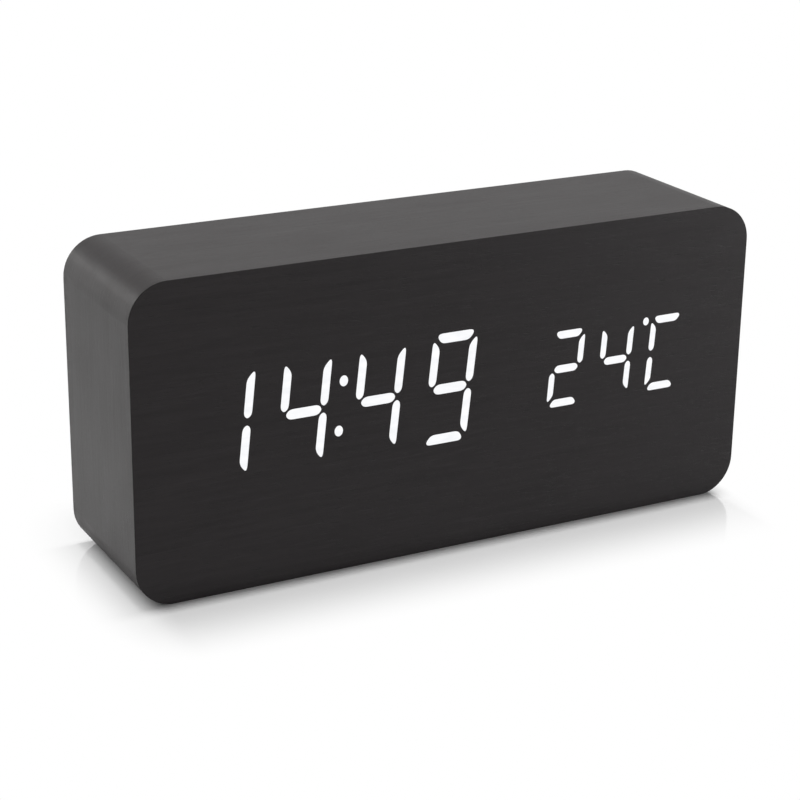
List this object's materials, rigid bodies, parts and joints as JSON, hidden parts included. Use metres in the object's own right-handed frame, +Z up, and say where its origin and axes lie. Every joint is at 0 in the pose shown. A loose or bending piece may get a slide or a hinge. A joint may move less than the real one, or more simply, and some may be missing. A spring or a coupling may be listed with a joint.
{
  "type": "led block clock",
  "caption": "Block clock in black wood grain: time and temperature glow through its front film; plastic back with battery door, buttons and power inlet.",
  "frame": {"origin": "middle of the face that the block stands on", "axes": "+X to the right seen from the front and along the length, +Y to the back, +Z up; the display faces -Y"},
  "size_m": [0.15, 0.038, 0.07],
  "materials": {
    "black_wood_film": "satin black wood grain film",
    "mdf": "raw fibre board",
    "lit_film": "white light through the film",
    "diffuser_white": "frosted film",
    "guide_white": "moulded white plastic",
    "board_green": "solder mask over glass board",
    "light_lens": "clear resin over a white base",
    "zinc_steel": "zinc plated",
    "nickel_steel": "nickel plated",
    "tinned_copper": "tinned",
    "chip_black": "moulded epoxy",
    "part_black": "moulded black plastic",
    "resistor_ceramic": "ceramic with glazed top",
    "connector_white": "natural nylon",
    "can_aluminium": "bare can",
    "cover_black": "fine spark texture",
    "button_black": "smooth moulded",
    "plunger_black": "moulded",
    "cell_wrap": "shrink wrapped steel can",
    "cable_grey": "flat insulated cable",
    "lead_red": "insulated wire",
    "lead_black": "insulated wire",
    "sensor_resin": "dipped resin"
  },
  "bodies": {
    "root": {"front_veneer": "black_wood_film", "band_veneer": "black_wood_film", "back_veneer": "black_wood_film", "case_body": "mdf", "lit_time_segments": "lit_film", "lit_colon": "lit_film", "lit_temperature_segments": "lit_film", "lit_degree_dot": "lit_film", "diffuser_film": "diffuser_white", "light_guide": "guide_white", "display_board": "board_green", "button_board": "board_green", "power_board": "board_green", "segment_leds": "light_lens", "board_screws": "zinc_steel", "cover_screws": "zinc_steel", "battery_springs": "nickel_steel", "battery_plates": "nickel_steel", "terminal_tabs": "nickel_steel", "power_socket_shell": "nickel_steel", "clock_crystal": "nickel_steel", "coin_cell": "nickel_steel", "chip_leads": "tinned_copper", "control_chip": "chip_black", "driver_chip": "chip_black", "voltage_regulator": "chip_black", "buzzer": "part_black", "coin_cell_holder": "part_black", "switch_bodies": "part_black", "power_socket_tongue": "part_black", "chip_resistors": "resistor_ceramic", "cable_sockets": "connector_white", "cable_plugs": "connector_white", "smoothing_capacitor": "can_aluminium", "sound_sensor": "can_aluminium", "back_cover": "cover_black", "battery_cells": "cell_wrap", "button_cable": "cable_grey", "power_cable": "cable_grey", "sound_cable": "cable_grey", "red_battery_lead": "lead_red", "black_battery_lead": "lead_black", "thermistor": "sensor_resin"},
    "set_button": {"set_button_cap": "button_black", "set_switch_plunger": "plunger_black"},
    "up_button": {"up_button_cap": "button_black", "up_switch_plunger": "plunger_black"},
    "down_button": {"down_button_cap": "button_black", "down_switch_plunger": "plunger_black"},
    "door": {"battery_door": "cover_black"}
  },
  "joints": [
    {"name": "set_button_press", "type": "slide", "parent": "root", "child": "set_button", "axis": [0, -1, 0], "range_m": [0, 0.0005], "stiffness_N_per_m": 3000},
    {"name": "up_button_press", "type": "slide", "parent": "root", "child": "up_button", "axis": [0, -1, 0], "range_m": [0, 0.0005], "stiffness_N_per_m": 3000},
    {"name": "down_button_press", "type": "slide", "parent": "root", "child": "down_button", "axis": [0, -1, 0], "range_m": [0, 0.0005], "stiffness_N_per_m": 3000},
    {"name": "battery_door_tilt", "type": "hinge", "parent": "root", "child": "door", "pos_m": [0, 0.0178, 0.01145], "axis": [-1, 0, 0], "range_deg": [0, 60]}
  ]
}
